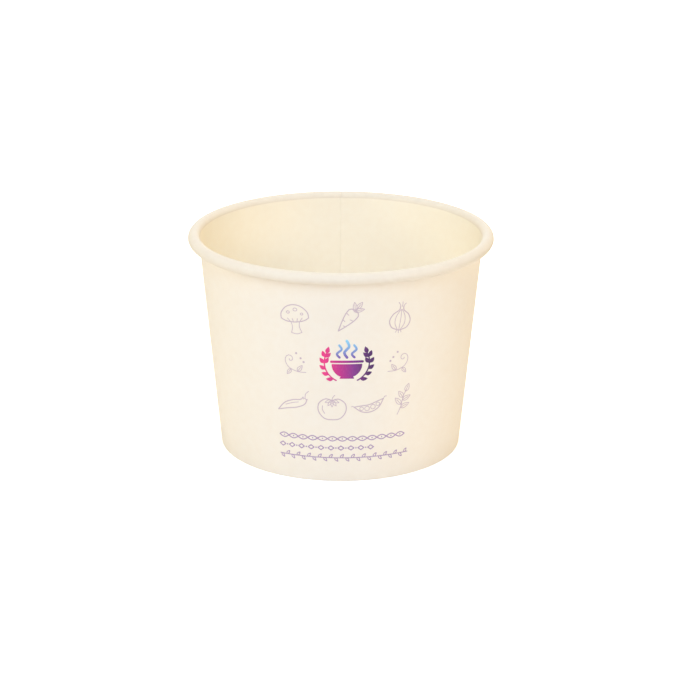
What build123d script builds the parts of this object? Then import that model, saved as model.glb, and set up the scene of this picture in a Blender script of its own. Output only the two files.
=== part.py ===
from build123d import *
import os
from math import acos, asin, atan2, ceil, copysign, cos, degrees, hypot, radians, sin, sqrt, tan

# A round, tapered paperboard tub for soup, open at the top, about 355 ml.
# The origin is the middle of the ring that it stands on, with +Z up.
# The print faces -Y, and the side seam is at +Y.
# All sizes are millimetres and degrees.

# Overall sizes
rim_diameter = 98.0  # over the rolled rim, the size that a lid fits
foot_diameter = 78.0  # over the wall, where its line meets the table
height = 71.0

# The coated paperboard, and the film of coating that seals two faces
board = 0.45
film = 0.02
roundness = 0.1  # how far the short flats that make a bend may lie from a true round

# Rolled rim
curl_radius = 1.95  # outside of the roll
curl_gap = 0.10  # from the wall to the edge that comes back up beside it

# Foot: a recessed disc with a skirt, held between the wall and its hem
recess = 7.5  # from the table up to the underside of the disc
hem_setback = 1.3  # from the disc's underside down to the end of the hem
crease = 0.05  # inside radius of the two folds under the skirt
disc_bend = 0.4  # inside radius of the disc's edge
skirt_gap = 0.05  # from the end of the crease up to the skirt's lower edge

# Side seam, where one end of the blank laps over the other
seam_angle = 90.0  # direction of the inner end's cut edge
lap_width = 8.0  # from that edge to the outer end's cut edge, at the rim
ramp_width = 5.0  # over which the outer end climbs on to the inner one, at the rim
lap_step = 0.32  # height of each end's cut edge, less than the board because the seam is pressed
rim_notch_width = 0.8  # gap that the inner end's edge leaves along the rim
rim_notch_depth = 0.2

# Worked out from the sizes above
rim_radius = rim_diameter / 2
foot_radius = foot_diameter / 2
curl_inside = curl_radius - board
curl_step = (board + curl_gap) / 2
curl_axis_out = rim_radius - curl_radius
curl_axis_up = height - curl_radius
fold_radius = crease + board
foot_wall = 3 * board + 2 * film

# The outside of the wall is a straight line from the table, tangent to the inside of the roll
axis_reach = hypot(curl_axis_out - foot_radius, curl_axis_up)
axis_lean = degrees(atan2(curl_axis_out - foot_radius, curl_axis_up))
wall_lean = axis_lean - degrees(asin(curl_inside / axis_reach))
wall_heading = 90 - wall_lean
slope = tan(radians(wall_lean))
across = 1 / cos(radians(wall_lean))
wall_reach = sqrt(axis_reach**2 - curl_inside**2)


def corner_length(radius, turn):
    """Distance from a corner to where a bend of this radius starts."""
    return radius * tan(radians(abs(turn) / 2))


def flats(radius, turn):
    """How many short flats make a bend of this radius."""
    if radius < roundness:
        return 1
    return ceil(abs(turn) / degrees(2 * acos(1 - roundness / radius)))


def follow(start, heading, path, depth):
    """Points along a path of (length, 0) runs and (radius, turn) bends, at a depth to its left."""
    points = [Vector(*start) + Vector(depth, 0).rotate(Axis.Z, heading + 90)]
    for size, turn in path:
        if turn == 0:
            points.append(points[-1] + Vector(size, 0).rotate(Axis.Z, heading))
            continue
        radius = size - depth * copysign(1, turn)
        share = turn / flats(radius, turn)
        chord = 2 * radius * sin(radians(abs(share) / 2))
        for _ in range(flats(radius, turn)):
            points.append(points[-1] + Vector(chord, 0).rotate(Axis.Z, heading + share / 2))
            heading += share
    return points


def layer(start, heading, path, near, far):
    """Upright section of a bent sheet, between two depths to the left of its path."""
    right = follow(start, heading, path, near)
    left = follow(start, heading, path, far)
    return Plane.XZ * make_face(Polyline(*right, *reversed(left), close=True))


def wall_radius(level, depth):
    """Radius of the straight wall at a level, this deep below its printed face."""
    return foot_radius + level * slope - depth * across


def at(radius, angle):
    """Point in plan."""
    return (radius * cos(radians(angle)), radius * sin(radians(angle)))


def roll_path():
    """Rolled rim: over the top, down the outside, and back up beside the wall."""
    return [
        (curl_inside, -wall_heading),
        (curl_inside, -90),
        (curl_inside - curl_step, -90),
        (curl_inside - curl_step, wall_heading - 180),
    ]


def foot_path():
    """Printed face from the hem's end, under the skirt and out to the wall."""
    hem_turn = 180 - wall_heading
    hem_corner = corner_length(fold_radius, hem_turn)
    wall_corner = corner_length(fold_radius, wall_heading)
    hem_length = (recess - hem_setback) * across
    return [
        (hem_length - hem_corner, 0),
        (fold_radius, hem_turn),
        (foot_wall * across - hem_corner - wall_corner, 0),
        (fold_radius, wall_heading),
    ]


def wall_run():
    """Straight wall, from the fold at the foot up to the roll."""
    return wall_reach - corner_length(fold_radius, wall_heading)


def sheet():
    """The whole blank, from hem to roll, turned once round."""
    hem_top = recess - hem_setback
    start = (wall_radius(hem_top, foot_wall), hem_top)
    path = foot_path() + [(wall_run(), 0)] + roll_path()
    return revolve(layer(start, wall_heading - 180, path, 0, board), axis=Axis.Z)


def prism(levels, outline):
    """Solid with flat sides between two levels, whose outline follows the wall's taper."""
    faces = [Plane.XY.offset(level) * make_face(Polyline(*outline(level), close=True)) for level in levels]
    return loft(faces, ruled=True)


lap_angle = degrees(lap_width / wall_radius(height, board))
ramp_angle = degrees(ramp_width / wall_radius(height, board))
ramp_start = seam_angle - ramp_angle


def outer_end():
    """End of the blank that climbs outward on a flat ramp and laps over the other end."""
    start = (foot_radius - corner_length(fold_radius, wall_heading), 0)
    path = [(fold_radius, wall_heading), (wall_run() - board, 0)]
    section = layer(start, 0, path, -lap_step, crease)
    strip = revolve(section, axis=Axis.Z, revolution_arc=ramp_angle + lap_angle)
    strip = split(Rot(0, 0, ramp_start) * strip, bisect_by=Plane.XY, keep=Keep.TOP)

    def beyond_ramp(level):
        clear = rim_radius + board
        return [
            at(wall_radius(level, crease), ramp_start),
            at(wall_radius(level, -lap_step), seam_angle),
            at(clear, seam_angle),
            at(clear, ramp_start),
        ]

    return strip - prism((-board, height), beyond_ramp)


def seam_groove():
    """Room in front of the ramp, up to the cut edge of the inner end."""

    def before_ramp(level):
        return [
            (0, 0),
            at(wall_radius(level, board + crease), ramp_start),
            at(wall_radius(level, board - lap_step), seam_angle),
        ]

    return prism((recess, height + board), before_ramp)


def rim_notch():
    """The same cut edge where it runs over the rolled rim."""
    start = (curl_axis_out - curl_inside * cos(radians(wall_lean)),
             curl_axis_up + curl_inside * sin(radians(wall_lean)))
    section = layer(start, wall_heading, roll_path()[:-1], board - rim_notch_depth, board + curl_gap / 2)
    angle = degrees(rim_notch_width / rim_radius)
    return Rot(0, 0, seam_angle - angle) * revolve(section, axis=Axis.Z, revolution_arc=angle)


def side_wall():
    return sheet() + outer_end() - seam_groove() - rim_notch()


def base_disc():
    """Disc whose edge turns down into a skirt, parallel to the wall."""
    turn = 180 - wall_heading
    corner = wall_radius(recess, 2 * board + film)
    bend = corner_length(disc_bend, turn)
    skirt_end = board + crease + skirt_gap + board * sin(radians(wall_lean))
    skirt_length = (recess - skirt_end) * across
    path = [(corner - bend, 0), (disc_bend, -turn), (skirt_length - bend, 0)]
    return revolve(layer((0, recess), 0, path, 0, board), axis=Axis.Z)


os.makedirs("parts", exist_ok=True)
export_step(side_wall(), "parts/side_wall.step")
export_step(base_disc(), "parts/base_disc.step")
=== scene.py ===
"""The paper soup tub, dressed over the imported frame: paperboard, its print and the studio."""
import math

import bmesh
import bpy
from mathutils import Matrix, Vector
from mathutils.geometry import delaunay_2d_cdt


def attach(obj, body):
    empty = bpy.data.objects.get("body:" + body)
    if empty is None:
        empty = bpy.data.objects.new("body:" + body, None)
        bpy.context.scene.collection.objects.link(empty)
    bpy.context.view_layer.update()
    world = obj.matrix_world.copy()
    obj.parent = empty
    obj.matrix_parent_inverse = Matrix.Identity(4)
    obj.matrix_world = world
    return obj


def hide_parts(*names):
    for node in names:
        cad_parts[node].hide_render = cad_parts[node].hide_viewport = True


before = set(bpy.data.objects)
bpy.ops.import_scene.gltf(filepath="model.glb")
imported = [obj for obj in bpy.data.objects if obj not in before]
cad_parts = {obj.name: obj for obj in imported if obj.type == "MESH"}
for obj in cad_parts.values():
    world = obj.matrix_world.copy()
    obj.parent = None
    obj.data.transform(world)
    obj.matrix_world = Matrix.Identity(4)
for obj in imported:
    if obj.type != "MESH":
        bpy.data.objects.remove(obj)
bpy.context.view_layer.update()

MM = 0.001

# The tub's own sizes, in millimetres and degrees, as in the part's source
RIM_RADIUS = 49.0
FOOT_RADIUS = 39.0
HEIGHT = 71.0
BOARD = 0.45
FILM = 0.02
CURL_RADIUS = 1.95
CURL_GAP = 0.10
RECESS = 7.5
HEM_SETBACK = 1.3
CREASE = 0.05
DISC_BEND = 0.4
SKIRT_GAP = 0.05
SEAM_ANGLE = 90.0
LAP_WIDTH = 8.0
RAMP_WIDTH = 5.0
LAP_STEP = 0.32
GROOVE_STEP = 0.12  # the inner cut edge, pressed down under its coating
NOTCH_WIDTH = 0.8
NOTCH_DEPTH = 0.2

# Marks that the sealing roller presses into the hem
CRIMPS = 96
CRIMP_STEPS = (0.38, 0.5, 0.88, 1.0)  # shares of one mark: ridge, flank, groove, flank
CRIMP_DEPTH = 0.2
CRIMP_BAND = (1.4, 5.6)  # levels between which they lie
CRIMP_RUNOUT = 0.5

# How finely the meshes are cut, with angles in degrees
BEND_STEP = 9.0  # of a bend, between two samples
DISC_SIDES = 288
RAMP_COLUMNS = 12
LAP_COLUMNS = 16
LEVEL_SHARE = 0.12  # of the ramp, before it starts to climb
CUT_WIDTH = 0.004  # that an upright cut edge takes up
PRESSED_WIDTH = 0.25  # that the inner end's pressed edge takes up
AFTER_LAP = 0.6  # from the lap to the first plain column
BEFORE_RAMP = 0.02  # from the last plain column to the ramp
MARK_CLEARANCE = 0.3  # from those two columns to the nearest mark
SHARP_ANGLE = 32.0  # corners above this stay sharp
MERGE_DISTANCE = 1e-7  # metres
NEAR_ZERO = 1e-6

# Worked out from the sizes above
CURL_INSIDE = CURL_RADIUS - BOARD
CURL_STEP = (BOARD + CURL_GAP) / 2
FOLD_RADIUS = CREASE + BOARD
FOOT_WALL = 3 * BOARD + 2 * FILM
AXIS_OUT = RIM_RADIUS - CURL_RADIUS - FOOT_RADIUS
AXIS_UP = HEIGHT - CURL_RADIUS
LEAN = math.atan2(AXIS_OUT, AXIS_UP) - math.asin(CURL_INSIDE / math.hypot(AXIS_OUT, AXIS_UP))
SLOPE = math.tan(LEAN)
ACROSS = 1 / math.cos(LEAN)
HEADING = 90 - math.degrees(LEAN)


# ---------------------------------------------------------------- mesh helpers

def piece(name, verts, faces, materials, face_materials=None, turned=True):
    """A mesh object in metres from points in millimetres, riding on the frame.
    A turned piece has its doubled points merged and its bends shaded smooth."""
    mesh = bpy.data.meshes.new(name)
    mesh.from_pydata([tuple(c * MM for c in v) for v in verts], [], faces)
    for material in materials:
        mesh.materials.append(material)
    if face_materials:
        mesh.polygons.foreach_set("material_index", face_materials)
    work = bmesh.new()
    work.from_mesh(mesh)
    if turned:
        bmesh.ops.remove_doubles(work, verts=work.verts, dist=MERGE_DISTANCE)
    bmesh.ops.recalc_face_normals(work, faces=work.faces)
    work.to_mesh(mesh)
    work.free()
    if turned:
        mesh.polygons.foreach_set("use_smooth", [True] * len(mesh.polygons))
        mesh.set_sharp_from_angle(angle=math.radians(SHARP_ANGLE))
    mesh.validate()
    obj = bpy.data.objects.new(name, mesh)
    bpy.context.scene.collection.objects.link(obj)
    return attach(obj, "root")


def corner_length(radius, turn):
    """Distance from a corner to where a bend of this radius starts."""
    return radius * math.tan(math.radians(abs(turn) / 2))


def trace(start, heading, path):
    """Samples (radius, level, left normal, kind) along parts (kind, length or radius, turn)."""
    x, y = start
    samples = []
    for kind, size, turn in path:
        count = 1 if turn == 0 else max(2, math.ceil(abs(turn) / BEND_STEP))
        for i in range(count):
            normal = math.radians(heading + 90)
            samples.append((x, y, math.cos(normal), math.sin(normal), kind))
            share = turn / count
            run = size if turn == 0 else 2 * size * math.sin(math.radians(abs(share)) / 2)
            along = math.radians(heading + share / 2)
            x += run * math.cos(along)
            y += run * math.sin(along)
            heading += share
        normal = math.radians(heading + 90)
        samples.append((x, y, math.cos(normal), math.sin(normal), kind))
    return samples


def wall_radius(level, depth=0.0):
    """Radius of the straight wall at a level, this deep below its printed face."""
    return FOOT_RADIUS + level * SLOPE - depth * ACROSS


def sweep(columns, loop_size):
    """Quads between closed loops of points that stand round the axis, one loop per column."""
    count = len(columns)
    faces = []
    for j in range(count):
        near, far = j * loop_size, (j + 1) % count * loop_size
        for k in range(loop_size):
            after = (k + 1) % loop_size
            faces.append((near + k, far + k, far + after, near + after))
    return faces


# ---------------------------------------------------------------- side wall

LAP_ANGLE = math.degrees(LAP_WIDTH / wall_radius(HEIGHT, BOARD))
RAMP_ANGLE = math.degrees(RAMP_WIDTH / wall_radius(HEIGHT, BOARD))
NOTCH_ANGLE = math.degrees(NOTCH_WIDTH / RIM_RADIUS)
RAMP_START = SEAM_ANGLE - RAMP_ANGLE
LAP_END = SEAM_ANGLE + LAP_ANGLE


def wall_path():
    """The blank's printed face, from the hem's end to the end of the roll."""
    hem_turn = 180 - HEADING
    hem_corner = corner_length(FOLD_RADIUS, hem_turn)
    wall_corner = corner_length(FOLD_RADIUS, HEADING)
    reach = math.sqrt(AXIS_OUT**2 + AXIS_UP**2 - CURL_INSIDE**2)
    run = reach - wall_corner
    recess_run = RECESS * ACROSS - wall_corner
    low, high = CRIMP_BAND
    levels = [RECESS - HEM_SETBACK, high, high - CRIMP_RUNOUT, low + CRIMP_RUNOUT, low]
    return [
        *(("hem", (a - b) * ACROSS, 0) for a, b in zip(levels, levels[1:])),
        ("hem", low * ACROSS - hem_corner, 0),
        ("fold", FOLD_RADIUS, hem_turn),
        ("under", FOOT_WALL * ACROSS - hem_corner - wall_corner, 0),
        ("bend", FOLD_RADIUS, HEADING),
        ("foot", recess_run, 0),
        ("wall", run - recess_run - BOARD, 0),
        ("neck", BOARD, 0),
        ("roll", CURL_INSIDE, -HEADING),
        ("roll", CURL_INSIDE, -90),
        ("roll", CURL_INSIDE - CURL_STEP, -90),
        ("roll", CURL_INSIDE - CURL_STEP, HEADING - 180),
    ]


def seam_columns():
    """(angle, how far the outer end stands out, inner groove, rim notch, cut edge that follows)."""
    notch = 360 + SEAM_ANGLE - NOTCH_ANGLE
    first, last = LAP_END + AFTER_LAP, 360 + RAMP_START - BEFORE_RAMP
    marks = [(i + share) * 360 / CRIMPS for i in range(2 * CRIMPS) for share in CRIMP_STEPS]
    between = [a for a in marks if first + MARK_CLEARANCE < a < last - MARK_CLEARANCE]
    columns = [(angle, 0, 0, 0, None) for angle in (first, *between, last)]
    for i in range(1, RAMP_COLUMNS + 1):
        share = i / RAMP_COLUMNS
        angle = 360 + RAMP_START + RAMP_ANGLE * share
        climb = max(0.0, (share - LEVEL_SHARE) / (1 - LEVEL_SHARE))
        rise, groove = LAP_STEP * climb, GROOVE_STEP * climb
        if columns[-1][0] <= notch < angle:
            columns.append((notch, rise, groove, 0, "roll"))
            columns.append((notch + CUT_WIDTH, rise, groove, NOTCH_DEPTH, None))
        deep = NOTCH_DEPTH if angle > notch else 0
        columns.append((angle, rise, groove, deep, "roll" if i == RAMP_COLUMNS else None))
    for i in range(LAP_COLUMNS + 1):
        angle = 360 + SEAM_ANGLE + PRESSED_WIDTH + (LAP_ANGLE - PRESSED_WIDTH) * i / LAP_COLUMNS
        columns.append((angle, LAP_STEP, 0, 0, "lap" if i == LAP_COLUMNS else None))
    columns.append((360 + LAP_END + CUT_WIDTH, 0, 0, 0, None))
    return columns


def crimp(angle, level):
    """How deep the roller's marks go at a place on the hem."""
    low, high = CRIMP_BAND
    ridge, down, floor, up = CRIMP_STEPS
    share = angle * CRIMPS / 360 % 1
    across = min(1.0, max(0.0, (share - ridge) / (down - ridge)), (up - share) / (up - floor))
    along = min(1.0, max(0.0, level - low) / CRIMP_RUNOUT, max(0.0, high - level) / CRIMP_RUNOUT)
    return CRIMP_DEPTH * across * along


def make_side_wall(materials):
    """The whole blank, from hem to roll, with its seam and its cut edges."""
    hem_top = RECESS - HEM_SETBACK
    samples = trace((wall_radius(hem_top, FOOT_WALL), hem_top), HEADING - 180, wall_path())
    columns = seam_columns()
    lapped = ("bend", "foot", "wall")  # the parts that the outer end stands out on
    verts = []
    for angle, rise, groove, deep, _ in columns:
        c, s = math.cos(math.radians(angle)), math.sin(math.radians(angle))
        loop = []
        for r, z, nr, nz, kind in samples:
            out = rise if kind in lapped else -crimp(angle, z) if kind == "hem" else 0
            loop.append((r - out * nr, max(0.0, z - out * nz)))
        for r, z, nr, nz, kind in reversed(samples):
            depth = BOARD - {"wall": groove, "neck": groove, "roll": deep}.get(kind, 0)
            loop.append((r + depth * nr, z + depth * nz))
        verts += [(r * c, r * s, z) for r, z in loop]

    # The loop's first half is the printed face, its second half the inner one
    outside, inside, rim, edge = range(4)
    size = 2 * len(samples)
    last = len(samples) - 1
    kinds = [s[4] for s in samples] + [s[4] for s in reversed(samples)]
    plain = []
    # The inner face takes the inside board, which carries painted light
    for k, kind in enumerate(kinds):
        # The roll's coated face takes the rim board, which carries painted shade
        inner = rim if kind == "roll" else inside
        plain.append(edge if k in (last, size - 1) else outside if k < last else inner)
    cuts = {
        None: plain,
        "roll": [edge if k > last and kinds[k] == "roll" else plain[k] for k in range(size)],
        "lap": [edge if k < last and kinds[k] in lapped else plain[k] for k in range(size)],
    }
    indices = [index for column in columns for index in cuts[column[4]]]
    obj = piece("tub_wall", verts, sweep(columns, size), materials, indices)
    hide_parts("side_wall")
    return obj


# ---------------------------------------------------------------- base disc

def make_base_disc(materials):
    """The disc with its skirt, as rings round the axis that two fans close."""
    turn = 180 - HEADING
    bend = corner_length(DISC_BEND, turn)
    end = BOARD + CREASE + SKIRT_GAP + BOARD * math.sin(LEAN)
    path = [
        ("disc", wall_radius(RECESS, 2 * BOARD + FILM) - bend, 0),
        ("bend", DISC_BEND, -turn),
        ("skirt", (RECESS - end) * ACROSS - bend, 0),
    ]
    samples = trace((0, RECESS), 0, path)
    half = [(r, z) for r, z, *_ in samples]
    half += [(r + BOARD * nr, z + BOARD * nz) for r, z, nr, nz, _ in reversed(samples)]
    rings = [p for p in half if p[0] > NEAR_ZERO]
    size = len(rings)
    verts = []
    for j in range(DISC_SIDES):
        a = 2 * math.pi * j / DISC_SIDES
        verts += [(r * math.cos(a), r * math.sin(a), z) for r, z in rings]
    under, over = len(verts), len(verts) + 1
    verts += [(0, 0, RECESS), (0, 0, RECESS + BOARD)]

    # The disc's upper face takes the inside board, which carries painted light
    outside, inside, edge = range(3)
    middle = size // 2 - 1  # the strip that is the skirt's cut edge
    faces, indices = [], []
    for j in range(DISC_SIDES):
        near, far = j * size, (j + 1) % DISC_SIDES * size
        faces.append((under, near, far))
        indices.append(outside)
        for k in range(size - 1):
            faces.append((near + k, far + k, far + k + 1, near + k + 1))
            indices.append(edge if k == middle else outside if k < middle else inside)
        faces.append((over, far + size - 1, near + size - 1))
        indices.append(inside)
    obj = piece("tub_base", verts, faces, materials, indices)
    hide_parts("base_disc")
    return obj


# ---------------------------------------------------------------- drawing

# Millimetres, unless a comment says otherwise
SPACING = 0.45  # between the points of a drawn line
LONGEST_QUAD = 1.1  # along a pen line
LONGEST_SIDE = 0.9  # of an outline, so that it follows the round wall
CORNER_ANGLE = 0.7  # radians: a sharper turn starts a new run of quads
CAP_SIDES = 8  # of the round end of a pen line
CDT_INSIDE = 1  # keeps only triangles that lie in a polygon
CDT_TOLERANCE = 1e-4
THIN, HEAVY = 0.22, 0.32  # pens of the motifs
BORDER_PEN, VINE_PEN = 0.34, 0.28
INK_OVER = 0.030  # how far the ink stands over the board
INK_UNDER = -0.030  # and how far it reaches into it, so that it is a closed solid


def arc(x, y, rx, ry, start=0.0, end=360.0):
    """Part of an ellipse round a centre, or the whole of it."""
    count = max(6, math.ceil(abs(end - start) / 360 * math.pi * (rx + ry) / SPACING))
    turns = [math.radians(start + (end - start) * i / count) for i in range(count + 1)]
    return [(x + rx * math.cos(t), y + ry * math.sin(t)) for t in turns]


def curve(*points, spacing=SPACING):
    """Smooth line through a few points."""
    p = [points[0], *points, points[-1]]
    line = []
    for a, b, c, d in zip(p, p[1:], p[2:], p[3:]):
        count = max(2, math.ceil(math.dist(b, c) / spacing))
        for i in range(count):
            t = i / count
            line.append(tuple(
                0.5 * (2 * b[n] + (c[n] - a[n]) * t + (2 * a[n] - 5 * b[n] + 4 * c[n] - d[n]) * t**2
                       + (3 * b[n] - a[n] - 3 * c[n] + d[n]) * t**3) for n in (0, 1)))
    return line + [points[-1]]


def place(lines, x=0.0, y=0.0, turn=0.0, scale=1.0):
    """Lines scaled and turned about the origin, then moved."""
    c, s = math.cos(math.radians(turn)) * scale, math.sin(math.radians(turn)) * scale
    return [[(x + u * c - v * s, y + u * s + v * c) for u, v in line] for line in lines]


def mirrored(line):
    return [(-u, v) for u, v in line]


def leaf(x, y, turn, length, width, vein=True):
    """Outline of a pointed leaf, with or without its middle vein."""
    side = curve((0, 0), (length * 0.3, width * 0.5), (length * 0.65, width * 0.42), (length, 0))
    lines = [side + [(u, -v) for u, v in reversed(side)]]
    if vein:
        lines.append([(0, 0), (length * 0.72, 0)])
    return place(lines, x, y, turn)


def resample(line, longest):
    """The same line in steps that are no longer than this."""
    out = [line[0]]
    for a, b in zip(line, line[1:]):
        if math.dist(a, b) < NEAR_ZERO:
            continue
        count = math.ceil(math.dist(a, b) / longest)
        out += [(a[0] + (b[0] - a[0]) * i / count, a[1] + (b[1] - a[1]) * i / count)
                for i in range(1, count + 1)]
    return out


def stroke(line, width):
    """Polygons of a pen line: a chain of quads for each smooth run, with round ends."""
    line = resample(line, LONGEST_QUAD)
    runs, run = [], [line[0]]
    for a, b, c in zip(line, line[1:], line[2:]):
        run.append(b)
        first = math.atan2(b[1] - a[1], b[0] - a[0])
        then = math.atan2(c[1] - b[1], c[0] - b[0])
        if abs(math.remainder(then - first, 2 * math.pi)) > CORNER_ANGLE:
            runs.append(run)
            run = [b]
    runs.append(run + [line[-1]])
    cap = [2 * math.pi * (i + 0.5) / CAP_SIDES for i in range(CAP_SIDES)]
    polygons = []
    for run in runs:
        sides = []
        for i in range(len(run)):
            a, c = run[max(0, i - 1)], run[min(len(run) - 1, i + 1)]
            long = math.dist(a, c)
            sides.append((-(c[1] - a[1]) / long * width / 2, (c[0] - a[0]) / long * width / 2))
        for (p, m), (q, n) in zip(zip(run, sides), zip(run[1:], sides[1:])):
            polygons.append([(p[0] - m[0], p[1] - m[1]), (q[0] - n[0], q[1] - n[1]),
                             (q[0] + n[0], q[1] + n[1]), (p[0] + m[0], p[1] + m[1])])
        for x, y in (run[0], run[-1]):
            polygons.append([(x + width / 2 * math.cos(t), y + width / 2 * math.sin(t))
                             for t in cap])
    return polygons


def inside_of(point, polygon):
    """Whether a point lies in a polygon."""
    x, y = point
    within = False
    for (x0, y0), (x1, y1) in zip(polygon, polygon[1:] + polygon[:1]):
        if (y0 > y) != (y1 > y) and x < (x1 - x0) * (y - y0) / (y1 - y0) + x0:
            within = not within
    return within


def united(polygons, fill_step):
    """Triangles that cover overlapping polygons once, with points inside large ones if asked."""
    verts, faces = [], []
    for polygon in polygons:
        polygon = resample(polygon + polygon[:1], LONGEST_SIDE)[:-1]
        area = sum(a[0] * b[1] - b[0] * a[1] for a, b in zip(polygon, polygon[1:] + polygon[:1]))
        if area < 0:
            polygon = polygon[::-1]
        faces.append(list(range(len(verts), len(verts) + len(polygon))))
        verts += [Vector(p) for p in polygon]
    if fill_step:
        xs = [v.x for v in verts]
        ys = [v.y for v in verts]
        x = min(xs)
        while x < max(xs):
            y = min(ys)
            while y < max(ys):
                if any(inside_of((x, y), p) for p in polygons):
                    verts.append(Vector((x, y)))
                y += fill_step
            x += fill_step
    points, _, triangles, _, _, sources = delaunay_2d_cdt(
        verts, [], faces, CDT_INSIDE, CDT_TOLERANCE, True)
    return points, [tuple(t) for t, source in zip(triangles, sources) if source]


def on_wall(u, v, azimuth, level, lift):
    """Point of the tapered wall u millimetres round and v up from a centre, azimuth 0 being -Y."""
    z = level + v * math.cos(LEAN)
    turn = math.radians(azimuth) + u / wall_radius(z)
    r = wall_radius(z) + lift * ACROSS
    return (r * math.sin(turn), -r * math.cos(turn), z)


def printed(name, groups, ink):
    """Ink on the wall. Each group is (polygons, azimuth, level, fill step)."""
    verts, faces = [], []
    for polygons, azimuth, level, fill_step in groups:
        points, triangles = united(polygons, fill_step)
        base, count = len(verts), len(points)
        for lift in (INK_OVER, INK_UNDER):
            verts += [on_wall(p.x, p.y, azimuth, level, lift) for p in points]
        edges = {}  # in the order of the triangles, as keys
        for t in triangles:
            faces.append(tuple(base + i for i in t))
            faces.append(tuple(base + count + i for i in reversed(t)))
            edges.update(dict.fromkeys(zip(t, t[1:] + t[:1])))
        for a, b in edges:
            if (b, a) not in edges:
                faces.append((base + b, base + a, base + count + a, base + count + b))
    obj = piece(name, verts, faces, [ink], turned=False)
    return obj


# ---------------------------------------------------------------- motifs, about 10 mm each

def mushroom():
    cap = curve((-4.8, 0.5), (-4.5, 2.5), (-2.6, 4.5), (0, 5.2), (2.6, 4.5), (4.5, 2.5), (4.8, 0.5))
    brim = curve((-4.8, 0.5), (-3.0, -0.5), (0, -0.9), (3.0, -0.5), (4.8, 0.5))
    stem = curve((-1.5, -0.8), (-1.2, -2.6), (-1.8, -4.6))
    foot = curve((-1.8, -4.6), (0, -5.1), (1.8, -4.6))
    thin = [stem, mirrored(stem), foot, [(-2.6, 0.5), (-1.6, -0.7)], [(2.6, 0.5), (1.6, -0.7)],
            [(-0.9, 0.3), (-0.6, -0.8)], [(0.9, 0.3), (0.6, -0.8)],
            arc(-2.1, 2.6, 0.55, 0.45), arc(0.5, 3.5, 0.7, 0.55), arc(2.6, 1.9, 0.45, 0.4)]
    return thin, [cap, brim]


def carrot():
    side = curve((-2.0, 2.6), (-1.9, 0.6), (-1.1, -2.4), (0, -5.6))
    top = curve((-2.0, 2.6), (-1.2, 3.5), (0, 3.2), (1.2, 3.5), (2.0, 2.6))
    thin = [[(-1.9, 1.2), (-0.8, 1.0)], [(1.8, 0.2), (0.6, 0.0)], [(-1.4, -1.4), (-0.4, -1.6)],
            [(0.8, -3.0), (0.1, -3.1)], curve((0, 3.2), (0.1, 4.3), (0.1, 5.2))]
    for x, y, turn, width in ((0.0, 4.4, 90, 1.3), (-0.1, 3.6, 132, 1.2), (0.1, 3.6, 48, 1.2)):
        thin += leaf(x, y, turn, 3.0, width)
    return thin, [side, mirrored(side), top]


def onion():
    side = curve((-0.6, 4.6), (-0.9, 3.2), (-2.9, 1.6), (-3.9, -0.8), (-2.9, -3.1), (-0.8, -4.0))
    layer = curve((-0.3, 3.3), (-1.6, 1.0), (-1.8, -1.6), (-0.6, -3.9))
    thin = [layer, mirrored(layer), curve((0, 3.4), (0.15, 0), (0, -3.9)),
            curve((-0.6, 4.6), (-0.9, 5.3), (-1.5, 6.0)), curve((0.0, 4.5), (0.1, 5.4), (0.0, 6.2)),
            curve((0.6, 4.6), (0.9, 5.2), (1.4, 5.7)),
            [(-0.6, -4.1), (-1.1, -5.0)], [(0, -4.1), (0, -5.2)], [(0.6, -4.1), (1.0, -4.9)]]
    return thin, [side, mirrored(side), curve((-0.8, -4.0), (0, -4.2), (0.8, -4.0))]


def chilli():
    upper = curve((-5.4, -3.4), (-3.0, -0.6), (0, 0.8), (2.6, 1.2), (3.6, 2.2))
    lower = curve((-5.4, -3.4), (-2.2, -2.5), (1.4, -1.7), (4.0, -0.4), (4.9, 1.5))
    thin = [curve((3.6, 2.2), (3.7, 1.5), (4.3, 1.9), (4.5, 1.2), (4.9, 1.5)),
            curve((4.2, 2.0), (4.5, 3.4), (5.5, 4.4)), curve((-2.6, -1.2), (0, -0.2), (1.9, 0.2))]
    return thin, [upper, lower]


def tomato():
    body = curve((0, 2.8), (2.2, 3.3), (4.3, 1.6), (4.4, -1.2), (2.6, -3.6), (0, -4.1),
                 (-2.6, -3.6), (-4.4, -1.2), (-4.3, 1.6), (-2.2, 3.3), (0, 2.8))
    thin = [curve((-3.1, 0.8), (-3.1, -0.6), (-2.4, -1.9)), curve((0, 2.9), (0.2, 3.8), (0.9, 4.7))]
    for turn in (200, 236, 270, 304, 340):
        thin += leaf(0, 2.9, turn, 2.4, 0.9, vein=False)
    return thin, [body]


def pea_pod():
    lower = curve((-6.0, 1.2), (-3.4, -1.7), (0, -2.7), (3.4, -1.7), (6.0, 1.2))
    upper = curve((-6.0, 1.2), (-3.2, 0.9), (0, 0.5), (3.2, 0.9), (6.0, 1.2))
    thin = [arc(x, y, r, r) for x, y, r in
            ((-3.3, -0.3, 0.75), (-1.2, -0.85, 0.95), (1.2, -0.85, 0.95), (3.3, -0.3, 0.75))]
    thin += [curve((6.0, 1.2), (6.7, 1.9), (7.4, 1.8)),
             curve((-6.0, 1.2), (-6.5, 1.7), (-6.9, 1.6))]
    return place(thin, turn=14), place([lower, upper], turn=14)


def sprig():
    thin = [curve((-0.4, -5.2), (0.1, -2.0), (-0.1, 1.2), (0.3, 3.6))]
    thin += leaf(0.3, 3.4, 82, 3.0, 1.5)
    for y, turn, length in ((-2.6, 35, 3.6), (-1.4, 145, 3.6), (0.2, 38, 3.3), (1.2, 140, 3.1)):
        thin += leaf(0.0, y, turn, length, 1.5)
    return thin, []


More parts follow.
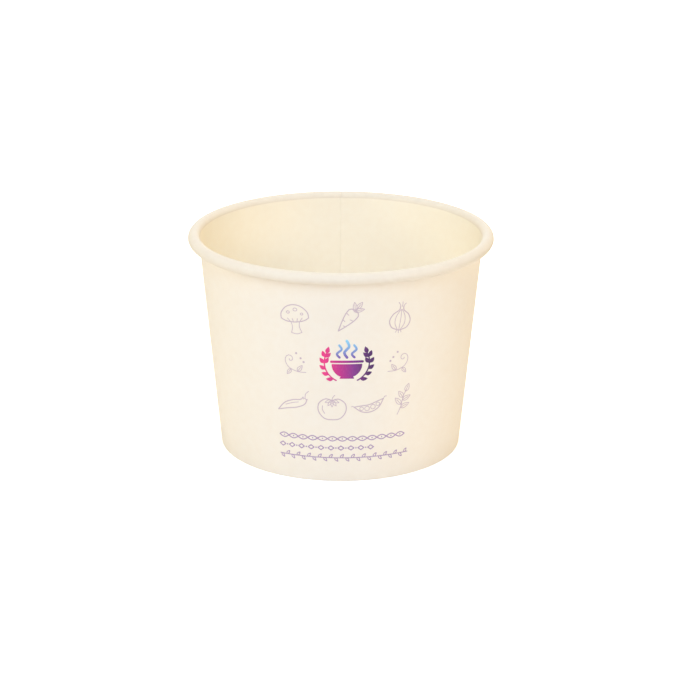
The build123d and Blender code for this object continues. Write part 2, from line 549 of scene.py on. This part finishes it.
def flourish(side):
    """Curled tendril with leaves and dots, beside the emblem."""
    curl = [(1.9 + (1.7 - t * 0.145) * math.cos(0.62 * t),
             0.9 + (1.7 - t * 0.145) * math.sin(0.62 * t)) for t in range(11)]
    stem = curve((-3.6, -3.6), (-0.6, -3.5), (2.2, -2.4), (3.5, -0.6), (3.6, 0.9))
    thin = [stem, curl] + leaf(-0.6, -3.45, 128, 2.9, 1.3) + leaf(1.6, -2.8, -52, 2.5, 1.2)
    dots = [arc(-1.9, 1.5, 0.22, 0.22), arc(-2.9, 0.2, 0.22, 0.22), arc(-0.4, 3.2, 0.22, 0.22)]
    both = place(thin, scale=0.92), place(dots, scale=0.92)
    return tuple([mirrored(line) for line in lines] for lines in both) if side < 0 else both


def motif_group(drawing, azimuth, level, turn, scale):
    """A drawing's lines as ink, the thin ones and then the heavy ones."""
    polygons = []
    for lines, width in zip(drawing, (THIN, HEAVY)):
        for line in place(lines, turn=turn, scale=scale):
            polygons += stroke(line, width)
    return polygons, azimuth, level, None


def make_motifs(ink):
    """Three rows of motifs: (drawing, azimuth, level, turn, scale)."""
    motifs = [
        (mushroom(), -18.5, 54.6, 6, 0.94),
        (carrot(), 3.2, 55.6, -38, 0.92),
        (onion(), 24.5, 54.4, -6, 0.9),
        (flourish(-1), -19.0, 40.4, 0, 1.0),
        (flourish(1), 24.6, 40.4, 0, 1.0),
        (chilli(), -20.8, 26.6, 0, 0.95),
        (tomato(), -3.6, 25.4, 0, 0.96),
        (pea_pod(), 12.6, 26.0, 0, 0.8),
        (sprig(), 27.6, 26.4, -14, 0.92),
    ]
    return printed("printed_motifs", [motif_group(*motif) for motif in motifs], ink)


def in_a_row(start, end, level, count):
    """Middle azimuth, and half length and pitch in millimetres, of marks along the wall."""
    half = math.radians(end - start) / 2 * wall_radius(level)
    return (start + end) / 2, half, 2 * half / count


def braid(start, end, level, count):
    """Two waves that cross, with a dot in each opening."""
    azimuth, half, pitch = in_a_row(start, end, level, count)
    swing, steps = 0.76, 8  # of the waves, and points to one opening
    polygons = []
    for phase in (1, -1):
        wave = [(-half + pitch * i / steps, phase * swing * math.sin(math.pi * i / steps))
                for i in range(count * steps + 1)]
        polygons += stroke(wave, BORDER_PEN)
    polygons += [arc(-half + pitch * (i + 0.5), 0, 0.24, 0.24)[:-1] for i in range(count)]
    return polygons, azimuth, level, None


def diamonds(start, end, level, count):
    """Diamonds and dots in turn."""
    azimuth, half, pitch = in_a_row(start, end, level, count)
    polygons = []
    for i in range(count):
        x = -half + pitch * (i + 0.5)
        if i % 2:
            polygons.append(arc(x, 0, 0.26, 0.26)[:-1])
        else:
            corners = [(x - 0.95, 0), (x, 0.72), (x + 0.95, 0), (x, -0.72), (x - 0.95, 0)]
            polygons += stroke(corners, BORDER_PEN)
    return polygons, azimuth, level, None


def vine(start, end, level, count):
    """A straight stem with leaves below and above it in turn."""
    azimuth, half, pitch = in_a_row(start, end, level, count)
    polygons = stroke([(-half, 0), (half, 0)], VINE_PEN)
    for i in range(count):
        turn = 52 if i % 2 else -52
        for line in leaf(-half + pitch * (i + 0.25), 0, turn, 1.5, 0.7, vein=False):
            polygons += stroke(line, VINE_PEN)
    return polygons, azimuth, level, None


def make_borders(ink):
    """Three narrow ornament lines under the motifs."""
    groups = [
        braid(-27.9, 29.7, 14.9, 13),
        diamonds(-27.7, 14.8, 11.7, 19),
        vine(-28.0, 31.9, 8.3, 24),
    ]
    return printed("printed_borders", groups, ink)


EMBLEM_PLACE = (2.64, 41.0)  # azimuth and level
EMBLEM_FILL = 0.9  # spacing of the points inside it


def make_emblem(warm, cool):
    """A steaming bowl between two sprigs, filled, about 15 mm across."""
    bowl = [(u, max(v, -4.7)) for u, v in arc(0, -0.55, 4.75, 4.75, 180, 360)]
    rim = [(-5.3, 0.25), (-5.0, -0.15), (5.0, -0.15), (5.3, 0.25), (5.0, 0.65), (-5.0, 0.65)]
    foot = [(-1.9, -4.6), (1.9, -4.6), (2.3, -5.5), (-2.3, -5.5)]
    filled = [bowl, rim, foot]
    outer, inner = (58, 7.15), (122, 6.8)  # a leaf's turn from the stem, and its reach
    for side in (1, -1):
        filled += stroke([(side * u, v) for u, v in arc(0, 0, 7.0, 6.9, -62, 26)], 0.42)
        leaves = []
        for turn, pair in ((-54, [outer]), (-37, [outer]), (-20, [outer]),
                           (-3, [outer, inner]), (14, [outer, inner])):
            for spread, reach in pair:
                x, y = reach * math.cos(math.radians(turn)), reach * math.sin(math.radians(turn))
                leaves += leaf(x, y, turn + spread, 2.3, 1.25, vein=False)
        leaves += leaf(6.3, 2.9, 106, 2.5, 1.35, vein=False)
        filled += [[(side * u, v) for u, v in line] for line in leaves]
    steam = []
    for x, tall, wide in ((-2.3, 4.1, 0.72), (0.0, 5.6, 0.84), (2.3, 4.1, 0.72)):
        line = curve((x, 1.7), (x - 0.8, 1.7 + tall * 0.3), (x + 0.6, 1.7 + tall * 0.66),
                     (x - 0.1, 1.7 + tall), spacing=0.3)
        steam += stroke(line, wide)
    printed("printed_emblem", [(filled, *EMBLEM_PLACE, EMBLEM_FILL)], warm)
    printed("printed_steam", [(steam, *EMBLEM_PLACE, None)], cool)


# ---------------------------------------------------------------- materials

def linear(*srgb):
    """A colour for a shader from its levels on screen, 0 to 255."""
    return tuple((c / 255 / 12.92) if c / 255 <= 0.04045 else ((c / 255 + 0.055) / 1.055) ** 2.4
                 for c in srgb) + (1.0,)


class Nodes:
    """A small builder for the node tree of a material or a world."""

    def __init__(self, owner, output="ShaderNodeOutputMaterial"):
        owner.use_nodes = True
        self.owner = owner
        self.tree = owner.node_tree
        self.tree.nodes.clear()
        self.output = self.add(output)

    def add(self, kind, **settings):
        node = self.tree.nodes.new(kind)
        for key, value in settings.items():
            if key in node.inputs:
                node.inputs[key].default_value = value
            else:
                setattr(node, key, value)
        return node

    def link(self, source, target):
        self.tree.links.new(source, target)

    def feed(self, value, socket):
        """Sets a socket to a constant, or links another node's output to it."""
        if isinstance(value, (int, float, tuple)):
            socket.default_value = value
        else:
            self.link(value, socket)

    def noise(self, vector, scale, detail, roughness=0.55):
        node = self.add("ShaderNodeTexNoise", Scale=scale, Detail=detail, Roughness=roughness)
        self.link(vector, node.inputs["Vector"])
        return node.outputs["Fac"]

    def math(self, operation, a, b):
        node = self.add("ShaderNodeMath", operation=operation)
        self.feed(a, node.inputs[0])
        self.feed(b, node.inputs[1])
        return node.outputs[0]

    def remap(self, value, low, high, to_low=0.0, to_high=1.0):
        node = self.add("ShaderNodeMapRange", clamp=True)
        for name, number in (("From Min", low), ("From Max", high),
                             ("To Min", to_low), ("To Max", to_high)):
            node.inputs[name].default_value = number
        self.link(value, node.inputs["Value"])
        return node.outputs["Result"]

    def mix(self, factor, a, b):
        node = self.add("ShaderNodeMix", data_type="RGBA")
        self.feed(factor, node.inputs["Factor"])
        self.feed(a, node.inputs[6])  # the colour sockets, which share their names with others
        self.feed(b, node.inputs[7])
        return node.outputs[2]

    def bump(self, height, strength, distance, after=None):
        node = self.add("ShaderNodeBump", Strength=strength, Distance=distance)
        self.link(height, node.inputs["Height"])
        if after:
            self.link(after, node.inputs["Normal"])
        return node.outputs["Normal"]

    def surface(self, colour, roughness, normal, gloss):
        """The one shader of a material, from linked colour, roughness and normal."""
        shader = self.add("ShaderNodeBsdfPrincipled")
        self.link(colour, shader.inputs["Base Color"])
        self.link(roughness, shader.inputs["Roughness"])
        self.link(normal, shader.inputs["Normal"])
        shader.inputs["Specular IOR Level"].default_value = gloss
        self.link(shader.outputs[0], self.output.inputs[0])
        return self.owner

    def seen(self):
        """1 on rays from the camera, in gloss and through glass, and 0 on the rest."""
        rays = self.add("ShaderNodeLightPath").outputs
        rest = self.math("MAXIMUM", rays["Is Glossy Ray"], rays["Is Transmission Ray"])
        return self.math("MAXIMUM", rays["Is Camera Ray"], rest)


IVORY = (248, 240, 226)  # of the printed face

# Scales of the noises, per metre, and depths of the bumps, in metres
MOTTLE, STREAKS, PITS, SAG, LAYERS = 420.0, 3800.0, 9000.0, 38.0, 5200.0
STREAK_SQUASH = 0.22  # up the wall, which draws the streaks out
SAG_DEPTH, GRAIN_DEPTH = 0.0016, 0.00006


def fibres(n, strength=1.0):
    """Fine paper grain: (place on the object, mottle, fibre streaks, normal)."""
    where = n.add("ShaderNodeTexCoord").outputs["Object"]
    mottle = n.noise(where, MOTTLE, 4.0)
    long = n.add("ShaderNodeMapping", Scale=(1.0, 1.0, STREAK_SQUASH))
    n.link(where, long.inputs["Vector"])
    streak = n.noise(long.outputs["Vector"], STREAKS, 3.0, 0.6)
    pits = n.noise(where, PITS, 2.0)
    sag = n.noise(where, SAG, 1.0)
    height = n.math("ADD", n.math("MULTIPLY", streak, 0.6), n.math("MULTIPLY", pits, 0.4))
    soft = n.bump(sag, 0.10 * strength, SAG_DEPTH)
    return where, mottle, streak, n.bump(height, 0.16 * strength, GRAIN_DEPTH, soft)


def board(name, tones, roughness, gloss, grain=1.0):
    """Coated paperboard in a main, a pale and a deep tone, with faint mottle and fibres."""
    n = Nodes(bpy.data.materials.new(name))
    main, pale, deep = (linear(*tone) for tone in tones)
    _, mottle, streak, normal = fibres(n, grain)
    base = n.mix(n.remap(mottle, 0.35, 0.65), deep, main)
    base = n.mix(n.remap(streak, 0.58, 0.78, 0.0, 0.55), base, pale)
    return n.surface(base, n.remap(mottle, 0.3, 0.7, roughness - 0.05, roughness + 0.05),
                     normal, gloss)


def raw_edge(name, main, deep):
    """Cut edge of the board, with its layers."""
    n = Nodes(bpy.data.materials.new(name))
    where, mottle, _, normal = fibres(n, 1.6)
    base = n.mix(n.remap(n.noise(where, LAYERS, 2.0), 0.4, 0.62), linear(*deep), linear(*main))
    return n.surface(base, n.remap(mottle, 0.3, 0.7, 0.72, 0.9), normal, 0.05)


def ink(name, tones, span=None):
    """Offset ink with the board's grain showing through.
    Several tones run along a span (axis, from, to), in metres."""
    n = Nodes(bpy.data.materials.new(name))
    where, mottle, streak, normal = fibres(n)
    stops = [linear(*tone) for tone in tones]
    base = stops[0]
    if span:
        axis, low, high = span
        apart = n.add("ShaderNodeSeparateXYZ")
        n.link(where, apart.inputs[0])
        ramp = n.add("ShaderNodeValToRGB")
        n.link(n.remap(apart.outputs[axis], low, high), ramp.inputs[0])
        elements = ramp.color_ramp.elements
        elements[0].color, elements[1].color = stops[0], stops[-1]
        for i, colour in enumerate(stops[1:-1]):
            elements.new((i + 1) / (len(stops) - 1)).color = colour
        base = ramp.outputs[0]
    shown = n.mix(n.remap(streak, 0.5, 0.85, 0.0, 0.06), base, linear(*IVORY))
    return n.surface(shown, n.remap(mottle, 0.3, 0.7, 0.5, 0.62), normal, 0.12)


# ---------------------------------------------------------------- studio

WHITE = (1.0, 1.0, 1.0, 1.0)

FLOOR_HALF = 3.0  # metres, as all lengths in the studio
FLOOR_COLOUR = (0.92, 0.89, 0.86, 1.0)
GLOW_REACH = (0.06, 0.40)  # distances from the tub's axis between which the glow grows
GLOW_NEAR = 0.60  # strength within the nearer one, where beyond the farther one it is 1

WORLD_COLOUR, WORLD_STRENGTH = (1.0, 0.72, 0.46, 1.0), 0.315

LAMP_DISTANCE = 1.3
LAMP_AIM = (0, 0, 0.035)
LAMPS = [  # name, azimuth, elevation, size, power, colour
    ("key", -22, 27, 0.55, 4.0, (0.82, 0.885, 1.0)),
    ("high", -10, 48, 0.55, 4.4, (0.395, 0.665, 1.0)),
    ("right_front", 42, 18, 0.5, 2.2, (0.92, 0.965, 1.0)),
    ("left", -92, 18, 0.5, 3.7, (1.0, 0.99, 0.73)),
    ("right", 92, 18, 0.5, 3.15, (1.0, 0.80, 0.41)),
    ("top", 0, 80, 0.6, 6.4, (0.785, 0.885, 1.0)),
    ("back", 165, 42, 0.6, 4.3, (1.0, 0.95, 0.79)),
    ("back_low", 180, 10, 0.4, 5.35, (0.515, 0.725, 1.0)),
]

# The camera, as fitted to the photo's outline
EYE_DISTANCE, AIM_HEIGHT = 8.0, 0.35  # in rim diameters
EYE_ELEVATION, YAW, TILT, ROLL = 21.13, 0.24, -0.28, 0.25  # degrees
FOCAL_LENGTH, FRAME_WIDTH = 2373.0, 700  # pixels
SENSOR = 36.0  # millimetres
CLIP_START = 0.05


def make_floor():
    """Pale floor that the camera sees as white, with the object's shadow kept."""
    mesh = bpy.data.meshes.new("floor")
    corners = ((-1, -1), (1, -1), (1, 1), (-1, 1))
    mesh.from_pydata([(x * FLOOR_HALF, y * FLOOR_HALF, 0) for x, y in corners], [], [(0, 1, 2, 3)])
    n = Nodes(bpy.data.materials.new("floor_white"))
    diffuse = n.add("ShaderNodeBsdfDiffuse", Color=FLOOR_COLOUR)
    glow = n.add("ShaderNodeEmission", Color=WHITE)
    length = n.add("ShaderNodeVectorMath", operation="LENGTH")
    n.link(n.add("ShaderNodeTexCoord").outputs["Object"], length.inputs[0])
    level = n.remap(length.outputs["Value"], *GLOW_REACH, GLOW_NEAR, 1.0)
    n.link(n.math("MULTIPLY", n.seen(), level), glow.inputs["Strength"])
    both = n.add("ShaderNodeAddShader")
    n.link(diffuse.outputs[0], both.inputs[0])
    n.link(glow.outputs[0], both.inputs[1])
    n.link(both.outputs[0], n.output.inputs[0])
    mesh.materials.append(n.owner)
    floor = bpy.data.objects.new("floor", mesh)
    bpy.context.scene.collection.objects.link(floor)


def make_world():
    """White to the camera and in gloss, and a warm soft fill for the rest."""
    world = bpy.data.worlds.new("studio")
    bpy.context.scene.world = world
    n = Nodes(world, "ShaderNodeOutputWorld")
    fill = n.add("ShaderNodeBackground", Color=WORLD_COLOUR, Strength=WORLD_STRENGTH)
    white = n.add("ShaderNodeBackground", Color=WHITE, Strength=1.0)
    chosen = n.add("ShaderNodeMixShader")
    n.link(n.seen(), chosen.inputs[0])
    n.link(fill.outputs[0], chosen.inputs[1])
    n.link(white.outputs[0], chosen.inputs[2])
    n.link(chosen.outputs[0], n.output.inputs[0])


def make_lamp(name, azimuth, elevation, size, power, colour):
    """Soft round lamp that looks at the tub, azimuth 0 being the front and 90 the right."""
    light = bpy.data.lights.new(name, "AREA")
    light.shape = "DISK"
    light.size = size
    light.energy = power
    light.color = colour
    a, e = math.radians(azimuth), math.radians(elevation)
    back = Vector((math.sin(a) * math.cos(e), -math.cos(a) * math.cos(e), math.sin(e)))
    lamp = bpy.data.objects.new(name, light)
    lamp.location = Vector(LAMP_AIM) + LAMP_DISTANCE * back
    lamp.rotation_euler = (-back).to_track_quat("-Z", "Y").to_euler()
    bpy.context.scene.collection.objects.link(lamp)


def make_camera():
    """Pinhole camera that sees the tub as the photo does."""
    size = 2 * RIM_RADIUS * MM
    elevation, yaw, tilt, roll = (math.radians(a) for a in (EYE_ELEVATION, YAW, TILT, ROLL))
    eye = Vector((0, -math.cos(elevation), math.sin(elevation))) * EYE_DISTANCE * size
    aim = Vector((0, 0, AIM_HEIGHT * size)) - eye
    pitch = math.atan2(aim.z, aim.y) + tilt
    ahead = Vector((math.sin(yaw) * math.cos(pitch), math.cos(yaw) * math.cos(pitch),
                    math.sin(pitch)))
    right = ahead.cross(Vector((0, 0, 1))).normalized()
    up = right.cross(ahead)
    right = math.cos(roll) * right + math.sin(roll) * up
    up = right.cross(ahead)
    data = bpy.data.cameras.new("camera")
    data.sensor_width = SENSOR
    data.lens = FOCAL_LENGTH / FRAME_WIDTH * SENSOR
    data.clip_start = CLIP_START
    camera = bpy.data.objects.new("camera", data)
    turn = Matrix((right, up, -ahead)).transposed()
    camera.matrix_world = Matrix.Translation(eye) @ turn.to_4x4()
    bpy.context.scene.collection.objects.link(camera)
    bpy.context.scene.camera = camera


# ---------------------------------------------------------------- assembly

outside = board("board_outside", [IVORY, (249, 242, 230), (247, 238, 223)], 0.78, 0.015)
# Painted light: the inside board is a lighter copy of the printed face's ivory, lifted where the
# inside lies in shade
inside = board("board_inside_painted_light", [(252, 244, 226), (252, 245, 229), (251, 242, 223)], 0.50, 0.12,
               grain=0.5)
# Painted shade: the roll's coated face is a darker copy of the inside board, which tones down the
# light from above on the rim
rim = board("board_rim_painted_shade", [(239, 229, 212), (241, 232, 217), (237, 226, 209)], 0.7, 0.02,
            grain=0.6)
edge = raw_edge("board_edge", (246, 239, 226), (226, 212, 190))
make_side_wall([outside, inside, rim, edge])
make_base_disc([outside, inside, edge])

mauve = ink("ink_mauve", [(208, 188, 196)])
violet = ink("ink_violet", [(179, 153, 185)])
warm = ink("ink_emblem", [(236, 72, 140), (200, 62, 142), (138, 66, 146), (92, 60, 108)],
           span=("X", -0.0050, 0.0085))
cool = ink("ink_steam", [(128, 96, 176), (136, 170, 222), (150, 215, 245)],
           span=("Z", 0.0425, 0.0485))
make_motifs(mauve)
make_borders(violet)
make_emblem(warm, cool)

make_floor()
make_world()
for row in LAMPS:
    make_lamp(*row)
make_camera()
bpy.context.scene.view_settings.view_transform = "Standard"
